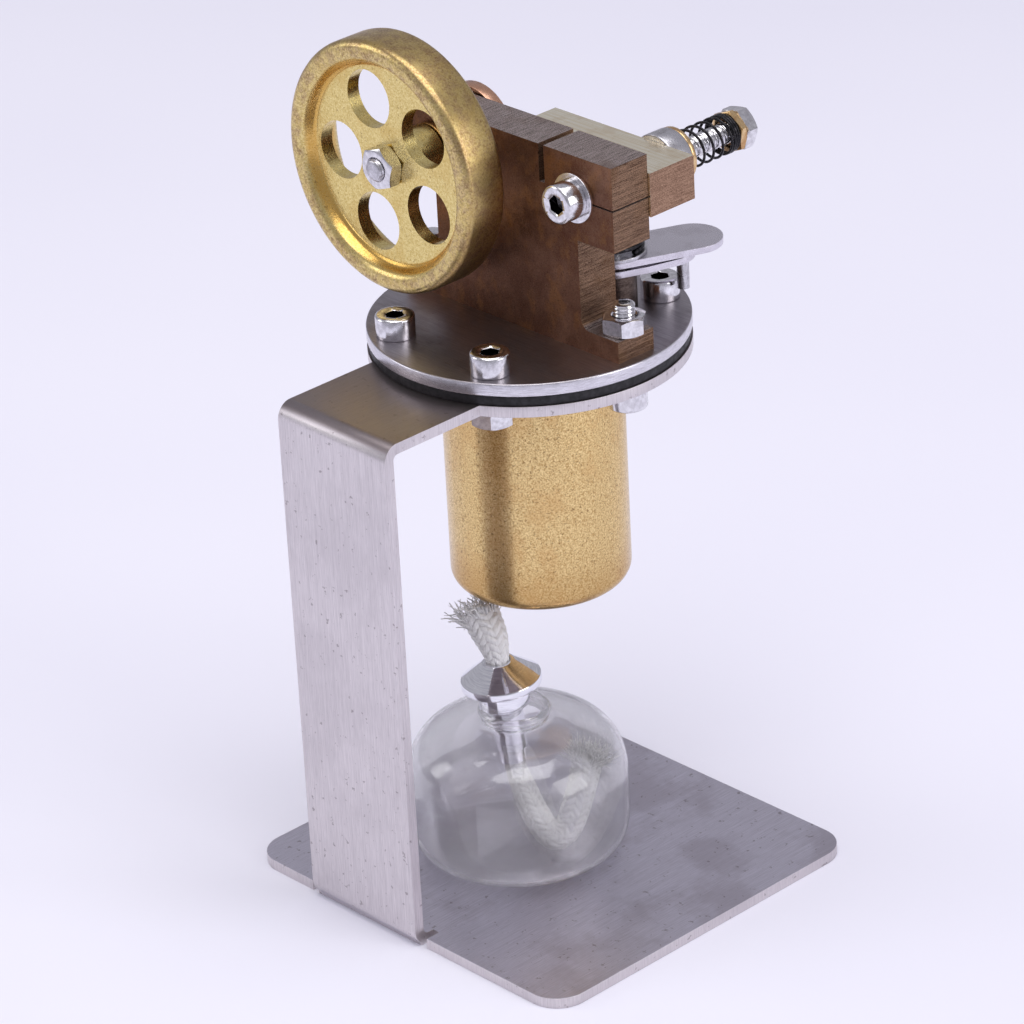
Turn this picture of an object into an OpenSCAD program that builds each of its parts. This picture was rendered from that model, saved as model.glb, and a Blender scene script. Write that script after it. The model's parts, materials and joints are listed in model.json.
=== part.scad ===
// Small oscillating-cylinder steam engine on a vertical boiler, heated by a glass spirit burner.
// Millimetres. Z is up and the underside of the base is at z = 0. The boiler axis is X = Y = 0.
// The bent strap leg stands at -Y, the flywheel is in front of the engine frame (-Y)
// and the cylinder swings behind it (+Y).

/* [Stand] */
// thickness of the folded sheet
sheet_t = 2; // [1:0.1:4]
// width of the base along X
base_w = 79.2; // [50:0.1:140]
// depth of the base along Y
base_d = 74; // [50:1:140]
// corner radius of the base
base_r = 6; // [1:0.5:12]
// width of the leg and strap
leg_w = 27; // [12:0.5:50]
// outer bend radius of the sheet
bend_r = 3; // [2.5:0.5:8]
// height of the strap top above the table
strap_z = 97.8; // [60:0.1:160]
// distance from the boiler axis to the outer face of the leg
leg_y = 47.2; // [35:0.1:80]

/* [Boiler] */
// outer radius of the boiler shell
boiler_r = 16.2; // [10:0.1:30]
// wall of the boiler shell
boiler_wall = 1; // [0.5:0.1:3]
// height of the boiler bottom above the table
boiler_z = 51.2; // [40:0.1:80]
// radius of the clamped top plate
plate_r = 28.5; // [20:0.1:50]
// thickness of the top plate
plate_t = 2.4; // [1:0.1:5]
// thickness of the gasket
gasket_t = 1.8; // [0.5:0.1:4]
// radius of the bolt circle
bolt_circle = 23.8; // [18:0.1:40]

/* [Engine frame] */
// thickness of the frame block along Y
frame_t = 8.5; // [4:0.1:16]
// half length of feet and arms along X
frame_half = 26.4; // [20:0.1:40]
// half width of the waist of the frame
waist_half = 17.6; // [10:0.1:30]
// height of the frame above the top plate
frame_h = 36; // [20:0.1:60]
// height of the underside of the arms above the top plate
arm_z = 20.5; // [10:0.1:40]
// thickness of the feet
foot_t = 4; // [2:0.1:8]
// height of the crank and pivot axes above the top plate
axis_h = 28.5; // [15:0.1:50]
// distance of the crank axis and of the pivot axis from the middle
axis_x = 17.5; // [10:0.1:30]
// width of the exhaust saw cut
slit_w = 1.3; // [0.3:0.1:2]
// distance of the steam port from the pivot axis
port_arm = 8; // [4:0.1:12]

/* [Flywheel and crank] */
// outer radius of the flywheel
wheel_r = 23; // [12:0.05:40]
// width of the flywheel rim
wheel_w = 9; // [4:0.1:16]
// radius of the circle of lightening holes
hole_circle = 11.9; // [6:0.1:20]
// radius of each lightening hole
hole_r = 5.3; // [2:0.1:8]
// number of lightening holes
hole_count = 5; // [3:1:8]
// angle of the first lightening hole
hole_turn = 109.6; // [0:0.1:360]
// radius of the crankshaft
shaft_r = 2; // [1:0.05:4]
// throw of the crank
crank_throw = 5; // [2:0.1:8]
// radius of the crank disc
disc_r = 8.5; // [6:0.1:14]

/* [Cylinder] */
// height of the cylinder block
block_h = 8; // [5:0.1:16]
// thickness of the cylinder block along Y
block_t = 10.6; // [6:0.1:20]
// length of the cylinder block from the pivot towards the crank
block_in = 24.1; // [15:0.1:40]
// length of the cylinder block from the pivot to its closed end
block_out = 9.4; // [4:0.1:20]
// radius of the cylinder bore
bore_r = 2.8; // [1.5:0.05:4]
// length of the piston
piston_l = 5; // [3:0.1:10]
// radius of the piston rod
rod_r = 1.2; // [0.5:0.05:2]

/* [Relief valve] */
// position of the valve along X
valve_x = 10.4; // [5:0.1:12]
// position of the valve along Y
valve_y = 10.9; // [10.5:0.05:12]
// direction of the lever measured from X
lever_turn = 66; // [0:1:90]
// width of the lever
lever_w = 11; // [5:0.1:11]
// length of the lever from the valve axis to the tip
lever_l = 20.2; // [12:0.1:30]
// height of the lever underside above the top plate
lever_z = 10.2; // [9:0.1:12]
// thickness of the lever
lever_t = 1.2; // [0.6:0.1:3]

/* [Burner] */
// position of the burner along X
burner_x = 4.7; // [-20:0.1:30]
// position of the burner along Y
burner_y = -12.7; // [-30:0.1:20]
// largest radius of the glass bowl
bowl_r = 20; // [12:0.1:30]
// height of the widest part of the bowl above its foot
bowl_c = 12.8; // [8:0.1:20]
// height of the dome above the widest part
dome_h = 14.6; // [8:0.1:24]
// wall of the glass bowl
glass_t = 1.2; // [0.6:0.1:3]
// inner radius of the mouth of the bowl
mouth_r = 4.9; // [4.9:0.1:8]
// lean of the loosely seated collar in degrees
collar_lean = 5; // [0:0.5:6]

/* [Hidden] */
e = 0.01;
plate_z = strap_z + gasket_t + plate_t;
axis_z = plate_z + axis_h;
half_t = frame_t / 2;
m4_r = 1.95;
m4_hole = 2.15;
m4_head_r = 3.5;
m4_head_h = 4;
m4_nut_r = 7 / 2 / cos(30);
m4_nut_h = 3.2;
leg_x = leg_w / 2;
base_x0 = -31.2;
base_y1 = 28;
base_front = base_y1 - base_d;
// screws are at the four corners of a hexagon whose other two corners are the feet
screw_turns = [60, 120, 240, 300];
foot_turns = [0, 180];
foot_fillet = 2;
// flywheel stack along Y, all in front of the frame
wheel_back = -8.7;
wheel_front = wheel_back - wheel_w;
web_front = -15.1;
web_back = -12.5;
// crank disc and big end behind the frame
disc_y0 = half_t + 0.35;
disc_y1 = disc_y0 + 2.5;
block_y0 = half_t + 0.05;
block_y1 = block_y0 + block_t;
bore_y = (block_y0 + block_y1) / 2;
bore_bottom = 7;
// the pin stands at inner dead centre, on the line between the two axes
pin_x = -axis_x + crank_throw;
piston_face = axis_x - bore_bottom - 2;
pin_y0 = disc_y1 + 0.35;
// stack of parts on the pivot screw
washer_t = 0.8;
head_y = -half_t - washer_t;
collar_y0 = block_y1 + 0.06;
collar_y1 = collar_y0 + 4.3;
spring_y0 = collar_y1 + 0.9;
spring_y1 = spring_y0 + 12.4;
brass_nut_t = 1.5;
lock_nut_h = 2.6;
lock_y0 = spring_y1 + brass_nut_t;
pivot_end = lock_y0 + lock_nut_h + 0.3;
// relief valve
seat_r = 4;
seat_neck_r = 3;
strip_z = 8;
strip_t = 1.2;
pad_t = 0.6;
ring_t = 0.7;
valve_spring_h = 4.2;
// upward slope of the tongue, which brings its tip just under the lever
tongue_rise = 3.5;
tongue_u = 5;
tongue_l = 10;
// stud riveted into the underside of the tongue
stud_u = 12.1;
stud_v = -2;
stud_r = 1.1;
stud_z = 3;
// direction from the valve to the boiler axis, where the steam ways open into the boiler
inward = 180 + atan2(valve_y, valve_x) - lever_turn;
// burner
foot_z = sheet_t + 0.02;
// how square the shoulder and the heel of the bowl are; 2 would be round
dome_p = 3;
heel_p = 4.8;
lip_r = 0.85;
mouth_h = bowl_c + dome_h + 2.1;
mouth_z = foot_z + mouth_h;
// the burner is turned so that its folded wick lies to one side
burner_turn = 47;
// route of the wick as x, y, z and radius: folded tail, tube, then the leaning free end
wick_route = [
  [12.6, 0.5, 19.5, 2.9], [11.8, -0.4, 16, 2.8], [10.2, -2.4, 11.5, 2.7], [8.4, -4, 8, 2.6],
  [6.2, -4.6, 6.7, 2.6], [4.2, -4, 8.2, 2.6], [2.4, -2.5, 11.4, 2.5], [0.9, -0.9, 15, 2.3],
  [-0.3, -0.1, 18.6, 1.95], [-0.8, 0, 22.4, 1.9], [-1.3, 0, 27.8, 1.9], [-1.8, 0, 33.6, 1.9],
  [-2.3, 0, 39.2, 1.9], [-2.6, 0.1, 41.4, 2.3], [-3.6, 1.5, 44.8, 3.2], [-5.2, 4, 47.8, 3.6]];

// ---------- helpers ----------

// cylinder of radius r along +Y from y0 to y1, standing at x, z
module ycyl(x, z, y0, y1, r, sides = 64) {
  translate([x, y0, z])
    rotate([-90, 0, 0])
      cylinder(h = y1 - y0, r = r, $fn = sides);
}

// hexagon prism along Y
module yhex(x, z, y0, y1, r, turn = 0) {
  translate([x, y0, z])
    rotate([-90, 0, 0])
      rotate([0, 0, turn])
        cylinder(h = y1 - y0, r = r, $fn = 6);
}

// cylinder along +Z
module zcyl(x, y, z0, z1, r, sides = 64) {
  translate([x, y, z0])
    cylinder(h = z1 - z0, r = r, $fn = sides);
}

// socket head screw pointing down, underside of the head at z = 0
module cap_screw(len) {
  difference() {
    union() {
      cylinder(h = m4_head_h, r = m4_head_r, $fn = 64);
      translate([0, 0, -len])
        cylinder(h = len + e, r = m4_r, $fn = 48);
    }
    translate([0, 0, 2])
      cylinder(h = 3, r = 3 / 2 / cos(30), $fn = 6);
  }
}

// hexagon nut, underside at z = 0
module hex_nut(h = m4_nut_h) {
  difference() {
    cylinder(h = h, r = m4_nut_r, $fn = 6);
    translate([0, 0, -1])
      cylinder(h = h + 2, r = m4_r + 0.02, $fn = 48);
  }
}

// put children on the bolt circle at each angle
module on_circle(turns) {
  for (a = turns)
    rotate([0, 0, a])
      translate([bolt_circle, 0, 0])
        children();
}

// frame of the valve: +X runs along the lever
module at_valve() {
  translate([valve_x, valve_y, plate_z])
    rotate([0, 0, lever_turn])
      children();
}

module at_burner() {
  translate([burner_x, burner_y, 0])
    rotate([0, 0, burner_turn])
      children();
}

function unit(v) = v / norm(v);
function mix(a, b, t) = a * (1 - t) + b * t;

// smooth curve through a list of points
function spline(p, i, t) =
  let (a = p[max(i - 1, 0)], b = p[i], c = p[i + 1], d = p[min(i + 2, len(p) - 1)])
  0.5 * (2 * b + (c - a) * t + (2 * a - 5 * b + 4 * c - d) * t * t
    + (3 * b - a - 3 * c + d) * t * t * t);
function route(p, per) = concat(
  [for (i = [0 : len(p) - 2]) for (k = [0 : per - 1]) spline(p, i, k / per)], [p[len(p) - 1]]);

// ring of points round a path point, square to the path; the fourth number is the radius
function xyz(p) = [p[0], p[1], p[2]];
function side(d) = unit(cross(d, abs(d[1]) < 0.8 ? [0, 1, 0] : [1, 0, 0]));
function ring_at(p, d, n) =
  let (u = side(d), v = cross(d, u))
  [for (k = [0 : n - 1])
    xyz(p) + p[3] * (u * cos(360 * k / n) + v * sin(360 * k / n))];
function heading(p, i) = unit(xyz(p[min(i + 1, len(p) - 1)]) - xyz(p[max(i - 1, 0)]));

// tube swept along a list of points
module sweep(p, n = 10) {
  m = len(p);
  pts = [for (i = [0 : m - 1]) each ring_at(p[i], heading(p, i), n)];
  walls = [for (i = [0 : m - 2]) for (k = [0 : n - 1])
    [i * n + k, i * n + (k + 1) % n, (i + 1) * n + (k + 1) % n, (i + 1) * n + k]];
  caps = [[for (k = [n - 1 : -1 : 0]) k], [for (k = [0 : n - 1]) (m - 1) * n + k]];
  polyhedron(points = pts, faces = concat(walls, caps), convexity = 8);
}

// coil spring along +Z; the last closed turns lie side by side
module coil(height, r, wire, open, closed = 0, per = 12) {
  shut = closed * 2.3 * wire;
  run = height - 2 * wire - shut;
  pts = [for (i = [0 : (open + closed) * per])
    let (t = i / per)
    [r * cos(360 * t), r * sin(360 * t),
      wire + (t < open ? run * t / open : run + shut * (t - open) / closed), wire]];
  sweep(pts, 8);
}

// ---------- stand and boiler ----------

// flat base with rounded corners
module base_outline() {
  x1 = base_x0 + base_w;
  difference() {
    union() {
      translate([base_x0 + base_r, base_front])
        square([base_w - 2 * base_r, base_d]);
      translate([base_x0, base_front + base_r])
        square([base_w, base_d - 2 * base_r]);
      for (x = [base_x0 + base_r, x1 - base_r])
        for (y = [base_front + base_r, base_y1 - base_r])
          translate([x, y])
            circle(r = base_r, $fn = 64);
    }
    // bend relief on each side of the leg
    for (s = [-1, 1])
      translate([s * (leg_x + 0.75) - 0.75, base_front - 1])
        square([1.5, 4]);
  }
}

// quarter bend of the sheet in the Y-Z plane, inside corner towards +Y
module bend() {
  rotate([90, 0, 90])
    translate([0, 0, -leg_x])
      linear_extrude(leg_w)
        intersection() {
          difference() {
            circle(r = bend_r, $fn = 64);
            circle(r = bend_r - sheet_t, $fn = 64);
          }
          translate([-bend_r, -bend_r])
            square([bend_r, bend_r]);
        }
}

module stand_bracket() {
  color([0.72, 0.72, 0.75])
  difference() {
    union() {
      linear_extrude(sheet_t)
        base_outline();
      translate([-leg_x, -leg_y + bend_r, 0])
        cube([leg_w, 4, sheet_t]);
      translate([0, -leg_y + bend_r, bend_r])
        bend();
      translate([-leg_x, -leg_y, bend_r])
        cube([leg_w, sheet_t, strap_z - 2 * bend_r]);
      translate([0, -leg_y + bend_r, strap_z - bend_r])
        mirror([0, 0, 1])
          bend();
      translate([-leg_x, -leg_y + bend_r, strap_z - sheet_t])
        cube([leg_w, leg_y - bend_r - boiler_r - 4, sheet_t]);
      zcyl(0, 0, strap_z - sheet_t, strap_z, plate_r);
    }
    zcyl(0, 0, strap_z - sheet_t - 1, strap_z + 1, boiler_r + 0.02, 96);
    on_circle([0, 60, 120, 180, 240, 300])
      zcyl(0, 0, strap_z - sheet_t - 1, strap_z + 1, m4_hole, 48);
  }
}

module boiler_shell() {
  r = boiler_r;
  w = boiler_wall;
  color([0.72, 0.55, 0.24])
  translate([0, 0, boiler_z])
    rotate_extrude($fn = 96)
      difference() {
        union() {
          square([r - 3, strap_z - boiler_z]);
          translate([0, 3])
            square([r, strap_z - boiler_z - 3]);
          translate([r - 3, 3])
            circle(r = 3, $fn = 48);
        }
        translate([-10, -1])
          square([10, 80]);
        translate([0, w])
          square([r - 3, 80]);
        translate([0, 3])
          square([r - w, 80]);
        translate([r - 3, 3])
          circle(r = 3 - w, $fn = 48);
      }
}

module gasket() {
  color([0.08, 0.08, 0.09])
  difference() {
    zcyl(0, 0, strap_z, strap_z + gasket_t, plate_r - 0.3);
    zcyl(0, 0, strap_z - 1, strap_z + gasket_t + 1, boiler_r - boiler_wall);
    on_circle([0, 60, 120, 180, 240, 300])
      zcyl(0, 0, strap_z - 1, strap_z + gasket_t + 1, m4_hole, 48);
  }
}

module top_plate() {
  z0 = strap_z + gasket_t;
  color([0.45, 0.44, 0.47])
  difference() {
    zcyl(0, 0, z0, plate_z, plate_r, 96);
    on_circle([0, 60, 120, 180, 240, 300])
      zcyl(0, 0, z0 - 1, plate_z + 1, m4_hole, 48);
    // steam way to the engine and mouth under the relief valve
    zcyl(axis_x - port_arm, 0, z0 - 1, plate_z + 1, 1.2, 32);
    zcyl(valve_x, valve_y, z0 - 1, plate_z + 1, 2.75, 48);
  }
}

module plate_screws() {
  color([0.8, 0.8, 0.82])
  on_circle(screw_turns)
    translate([0, 0, plate_z])
      cap_screw(plate_t + gasket_t + sheet_t + m4_nut_h + 1);
}

module plate_nuts() {
  color([0.78, 0.78, 0.8])
  on_circle(screw_turns)
    translate([0, 0, strap_z - sheet_t - m4_nut_h])
      hex_nut();
}

module foot_bolts() {
  top = plate_z + foot_t + m4_nut_h + 2.2;
  under = strap_z - sheet_t;
  color([0.8, 0.8, 0.82])
  on_circle(foot_turns)
    translate([0, 0, under])
      mirror([0, 0, 1])
        cap_screw(top - under);
}

module foot_nuts() {
  color([0.8, 0.8, 0.82])
  on_circle(foot_turns)
    translate([0, 0, plate_z + foot_t])
      rotate([0, 0, -22])
        hex_nut();
}

// ---------- engine ----------

// side view of the frame, drawn in X-Z with z = 0 on the top plate
module frame_outline() {
  difference() {
    union() {
      translate([-waist_half, 0])
        square([2 * waist_half, frame_h]);
      translate([-frame_half, 0])
        square([2 * frame_half, foot_t]);
      translate([-frame_half, arm_z])
        square([2 * frame_half, frame_h - arm_z]);
      // fillet between each foot and the waist
      for (s = [-1, 1])
        translate([s * (waist_half + foot_fillet / 2 - e), foot_t + foot_fillet / 2 - e])
          square(foot_fillet, center = true);
    }
    for (s = [-1, 1])
      translate([s * (waist_half + foot_fillet), foot_t + foot_fillet])
        circle(r = foot_fillet, $fn = 64);
    // exhaust saw cut from the top down to the port
    translate([axis_x - port_arm - slit_w / 2, axis_h + 0.6])
      square([slit_w, frame_h]);
    // thin saw cut from the end into the pivot hole
    translate([axis_x, axis_h - 0.5])
      square([frame_half, 0.3]);
  }
}

module engine_frame() {
  color([0.42, 0.28, 0.18])
  translate([0, 0, plate_z])
  difference() {
    translate([0, half_t, 0])
      rotate([90, 0, 0])
        linear_extrude(frame_t)
          frame_outline();
    ycyl(-axis_x, axis_h, -half_t - 1, half_t + 1, 3.2);
    ycyl(axis_x, axis_h, -half_t - 1, half_t + 1, 2.05, 48);
    for (s = [-1, 1])
      zcyl(s * bolt_circle, 0, -1, foot_t + 1, m4_hole, 48);
    // steam way up from the boiler and out to the port face
    zcyl(axis_x - port_arm, 0, -1, axis_h - 1.2, 1.2, 32);
    ycyl(axis_x - port_arm, axis_h - 1.6, 0, half_t + 1, 0.8, 32);
  }
}

module main_bush() {
  color([0.62, 0.42, 0.2])
  translate([0, 0, plate_z])
  difference() {
    union() {
      ycyl(-axis_x, axis_h, -half_t - 1.2, half_t, 3.18);
      ycyl(-axis_x, axis_h, -half_t - 1.2, -half_t - e, 4.6);
    }
    ycyl(-axis_x, axis_h, -half_t - 2, half_t + 1, shaft_r + 0.04, 64);
  }
}

// profile of the flywheel: x is the radius, y runs towards +Y
module wheel_profile() {
  rim_in = wheel_r - 3.2;
  difference() {
    union() {
      translate([rim_in, wheel_front + 0.8])
        square([wheel_r - rim_in, wheel_w - 1.6]);
      translate([rim_in + 0.8, wheel_front])
        square([wheel_r - rim_in - 1.6, wheel_w]);
      for (x = [rim_in + 0.8, wheel_r - 0.8])
        for (y = [wheel_front + 0.8, wheel_back - 0.8])
          translate([x, y])
            circle(r = 0.8, $fn = 32);
      translate([0, web_front])
        square([rim_in + 0.5, web_back - web_front]);
      translate([rim_in - 1.3, web_front - 0.5])
        square([1.8, web_back - web_front + 1]);
      translate([0, web_back - e])
        square([4.6, -half_t - 1.5 - web_back]);
    }
    translate([-1, -40])
      square([1 + shaft_r - 0.01, 80]);
  }
}

module flywheel() {
  color([0.8, 0.66, 0.34])
  translate([-axis_x, 0, axis_z])
  difference() {
    rotate([-90, 0, 0])
      rotate_extrude($fn = 128)
        wheel_profile();
    for (k = [0 : hole_count - 1])
      rotate([0, -hole_turn - 360 / hole_count * k, 0])
        ycyl(hole_circle, 0, web_front - 2, web_back + 2, hole_r, 64);
  }
}

module crankshaft() {
  color([0.78, 0.78, 0.8])
  ycyl(-axis_x, axis_z, wheel_front - 1, disc_y1, shaft_r - 0.01, 64);
}

module flywheel_nut() {
  color([0.8, 0.8, 0.82])
  difference() {
    yhex(-axis_x, axis_z, web_front - 2.8, web_front, m4_nut_r, 12);
    ycyl(-axis_x, axis_z, web_front - 4, web_front + 1, shaft_r, 48);
  }
}

module crank_disc() {
  color([0.68, 0.42, 0.24])
  difference() {
    ycyl(-axis_x, axis_z, disc_y0, disc_y1, disc_r, 96);
    ycyl(-axis_x, axis_z, disc_y0 - 1, disc_y1 + 1, shaft_r, 48);
    // threaded seat of the crank pin
    ycyl(pin_x, axis_z, disc_y0 - 1, disc_y1 + 1, 1.1, 32);
  }
}

module cylinder_block() {
  color([0.72, 0.62, 0.44])
  translate([axis_x, 0, axis_z])
  difference() {
    translate([-block_in, block_y0, -block_h / 2])
      cube([block_in + block_out, block_t, block_h]);
    ycyl(0, 0, block_y0 - 1, block_y1 + 1, m4_r + 0.08, 64);
    // bore, open towards the crank
    translate([-block_in - 1, bore_y, 0])
      rotate([0, 90, 0])
        cylinder(h = block_in - bore_bottom + 1, r = bore_r, $fn = 64);
    // port into the closed end of the bore
    ycyl(-port_arm, 0, block_y0 - 1, bore_y, 0.65, 32);
  }
}

module piston() {
  color([0.7, 0.7, 0.72])
  translate([piston_face - piston_l, bore_y, axis_z])
    rotate([0, 90, 0])
      cylinder(h = piston_l, r = bore_r - 0.03, $fn = 64);
}

module piston_rod() {
  color([0.75, 0.75, 0.77])
  difference() {
    union() {
      translate([pin_x, bore_y, axis_z])
        rotate([0, 90, 0])
          cylinder(h = piston_face - piston_l - pin_x, r = rod_r, $fn = 48);
      ycyl(pin_x, axis_z, bore_y - 1.4, bore_y + 1.4, 3, 64);
    }
    ycyl(pin_x, axis_z, bore_y - 3, bore_y + 3, 1.01, 32);
  }
}

module crank_pin() {
  color([0.82, 0.82, 0.84])
  union() {
    ycyl(pin_x, axis_z, pin_y0, bore_y + 1.5, 1, 32);
    ycyl(pin_x, axis_z, bore_y + 1.45, bore_y + 3.2, 2, 48);
  }
}

// ---------- pivot hardware ----------

module pivot_screw() {
  color([0.8, 0.8, 0.82])
  translate([axis_x, head_y, axis_z])
    rotate([90, 0, 0])
      cap_screw(pivot_end - head_y);
}

// flat ring on the pivot screw
module pivot_ring(y0, y1, r, hole = 2.05) {
  difference() {
    ycyl(axis_x, axis_z, y0, y1, r);
    ycyl(axis_x, axis_z, y0 - 1, y1 + 1, hole, 48);
  }
}

module pivot_washer() {
  color([0.8, 0.8, 0.82])
  pivot_ring(head_y, -half_t, 4.5);
}

module pivot_collar() {
  color([0.62, 0.63, 0.68])
  pivot_ring(collar_y0, collar_y1, 5.1);
}

module spring_washer() {
  color([0.8, 0.68, 0.52])
  pivot_ring(collar_y1, spring_y0, 5);
}

module pivot_spring() {
  color([0.12, 0.12, 0.13])
  translate([axis_x, spring_y0, axis_z])
    rotate([-90, 0, 0])
      coil(spring_y1 - spring_y0, 3.4, 0.25, 4.5, 3);
}

module brass_nut() {
  color([0.8, 0.62, 0.36])
  difference() {
    yhex(axis_x, axis_z, spring_y1, lock_y0, m4_nut_r, 8);
    ycyl(axis_x, axis_z, spring_y1 - 1, lock_y0 + 1, m4_r + 0.02, 48);
  }
}

module lock_nut() {
  color([0.78, 0.78, 0.8])
  difference() {
    yhex(axis_x, axis_z, lock_y0, lock_y0 + lock_nut_h, m4_nut_r, 20);
    ycyl(axis_x, axis_z, lock_y0 - 1, lock_y0 + 5, m4_r + 0.02, 48);
  }
}

// ---------- relief valve ----------

module valve_seat() {
  color([0.3, 0.28, 0.26])
  at_valve()
  difference() {
    union() {
      zcyl(0, 0, -plate_t, 0.1, 2.73, 48);
      zcyl(0, 0, 0, strip_z, seat_r);
      zcyl(0, 0, strip_z - e, lever_z - pad_t, seat_neck_r);
    }
    // threaded seat of the stem and two steam ways beside it
    zcyl(0, 0, 2, lever_z, 1.48, 32);
    for (turn = [inward - 50, inward + 50])
      rotate([0, 0, turn])
        zcyl(2.05, 0, -plate_t - 3, lever_z, 0.45, 24);
  }
}

module valve_pad() {
  color([0.15, 0.15, 0.16])
  at_valve()
  difference() {
    zcyl(0, 0, lever_z - pad_t + 0.02, lever_z, seat_neck_r);
    zcyl(0, 0, lever_z - 2, lever_z + 1, 1.55, 32);
  }
}

// strip outline with round ends, from the valve to u
module strip_outline(u, w) {
  union() {
    translate([0, -w / 2])
      square([u - w / 2, w]);
    circle(r = w / 2, $fn = 64);
    translate([u - w / 2, 0])
      circle(r = w / 2, $fn = 64);
  }
}

module valve_lever() {
  color([0.66, 0.66, 0.7])
  at_valve()
  translate([0, 0, lever_z])
    linear_extrude(lever_t)
      difference() {
        strip_outline(lever_l, lever_w);
        circle(r = 2.3, $fn = 48);
      }
}

module valve_ring() {
  color([0.8, 0.8, 0.83])
  at_valve()
  difference() {
    zcyl(0, 0, lever_z + lever_t, lever_z + lever_t + ring_t, 6);
    zcyl(0, 0, lever_z, lever_z + 4, 2.3, 48);
  }
}

module valve_spring() {
  color([0.12, 0.12, 0.13])
  at_valve()
  translate([0, 0, lever_z + lever_t + ring_t])
    coil(valve_spring_h, 5.2, 0.45, 3);
}

module valve_stem() {
  cap_z = lever_z + lever_t + ring_t + valve_spring_h;
  color([0.8, 0.8, 0.82])
  at_valve()
  difference() {
    union() {
      zcyl(0, 0, 2.5, cap_z + e, 1.45, 32);
      zcyl(0, 0, cap_z, cap_z + 0.8, 5.7, 64);
      zcyl(0, 0, cap_z + 0.7, cap_z + 2.6, 2.75, 48);
    }
    translate([0, 0, cap_z + 1.4])
      cylinder(h = 3, r = 1.44, $fn = 6);
  }
}

// side view of the bent strip: flat round the seat, then rising
module tongue_profile(l) {
  a = tongue_rise;
  polygon([
    [-10, strip_z],
    [tongue_u, strip_z],
    [tongue_u + l * cos(a), strip_z + l * sin(a)],
    [tongue_u + l * cos(a) - strip_t * sin(a), strip_z + l * sin(a) + strip_t * cos(a)],
    [tongue_u - strip_t * tan(a / 2), strip_z + strip_t],
    [-10, strip_z + strip_t]]);
}

// fixed tongue under the lever; its raised tip is the fulcrum
module fulcrum_strip() {
  w = 8.8;
  color([0.76, 0.75, 0.77])
  at_valve()
  difference() {
    intersection() {
      linear_extrude(lever_z)
        strip_outline(tongue_u + tongue_l * cos(tongue_rise), w);
      rotate([90, 0, 0])
        linear_extrude(w + 2, center = true)
          tongue_profile(tongue_l + 2);
    }
    zcyl(0, 0, strip_z - 1, strip_z + 4, seat_neck_r + 0.02, 48);
  }
}

module tongue_stud() {
  a = tongue_rise;
  color([0.86, 0.86, 0.85])
  at_valve()
  intersection() {
    zcyl(stud_u, stud_v, stud_z, lever_z, stud_r, 48);
    rotate([90, 0, 0])
      linear_extrude(12, center = true)
        polygon([
          [tongue_u, 0],
          [tongue_u, strip_z],
          [tongue_u + tongue_l * cos(a), strip_z + tongue_l * sin(a)],
          [tongue_u + tongue_l * cos(a), 0]]);
  }
}

// ---------- burner ----------

// side view of the bowl from the axis outwards, moved inwards by t: heel, then dome
module bowl_skin(t) {
  n = 14;
  polygon(concat(
    [for (i = [n : -1 : 0])
      let (a = 90 * i / n)
      [(bowl_r - t) * pow(cos(a), 2 / heel_p), bowl_c - (bowl_c - t) * pow(sin(a), 2 / heel_p)]],
    [for (i = [1 : n])
      let (a = 90 * i / n)
      [(bowl_r - t) * pow(cos(a), 2 / dome_p), bowl_c + (dome_h - t) * pow(sin(a), 2 / dome_p)]]));
}

module glass_bowl() {
  color([0.9, 0.95, 1, 0.35])
  at_burner()
  translate([0, 0, foot_z])
    rotate_extrude($fn = 128)
      difference() {
        union() {
          bowl_skin(0);
          translate([0, bowl_c + dome_h - 2])
            square([mouth_r + 2 * lip_r, 4.1 - lip_r]);
          translate([mouth_r + lip_r, mouth_h - lip_r])
            circle(r = lip_r, $fn = 48);
        }
        bowl_skin(glass_t);
        translate([-1, bowl_c + dome_h - 4])
          square([1 + mouth_r, 8]);
      }
}

// turned collar: the band sits on the mouth, the cone is above it, the tube hangs inside
module burner_collar() {
  color([0.85, 0.85, 0.88])
  at_burner()
  translate([-1.65, 0, mouth_z + 0.4])
  rotate([0, -collar_lean, 0])
  difference() {
    union() {
      translate([0, 0, 4.5])
        cylinder(h = 4.2, r1 = 7.3, r2 = 2.8, $fn = 96);
      translate([0, 0, 4])
        cylinder(h = 0.51, r = 7.3, $fn = 96);
      cylinder(h = 4.01, r = 4.6, $fn = 64);
      translate([0, 0, -4])
        cylinder(h = 4.01, r = 3.1, $fn = 64);
      translate([0, 0, -9])
        cylinder(h = 5.01, r = 2.9, $fn = 64);
      translate([0, 0, -11.5])
        cylinder(h = 2.51, r = 2.55, $fn = 64);
    }
    translate([0, 0, -13])
      cylinder(h = 24, r = 2.15, $fn = 64);
  }
}

module wick() {
  color([0.93, 0.92, 0.9])
  at_burner()
    sweep(route(wick_route, 5), 10);
}

stand_bracket();
boiler_shell();
gasket();
top_plate();
plate_screws();
plate_nuts();
foot_bolts();
foot_nuts();
engine_frame();
main_bush();
flywheel();
crankshaft();
flywheel_nut();
crank_disc();
cylinder_block();
piston();
piston_rod();
crank_pin();
pivot_screw();
pivot_washer();
pivot_collar();
spring_washer();
pivot_spring();
brass_nut();
lock_nut();
valve_seat();
valve_pad();
valve_lever();
valve_ring();
valve_spring();
valve_stem();
fulcrum_strip();
tongue_stud();
glass_bowl();
burner_collar();
wick();
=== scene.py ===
import json
import math
import random

import bpy
from mathutils import Matrix, Vector, noise


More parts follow.
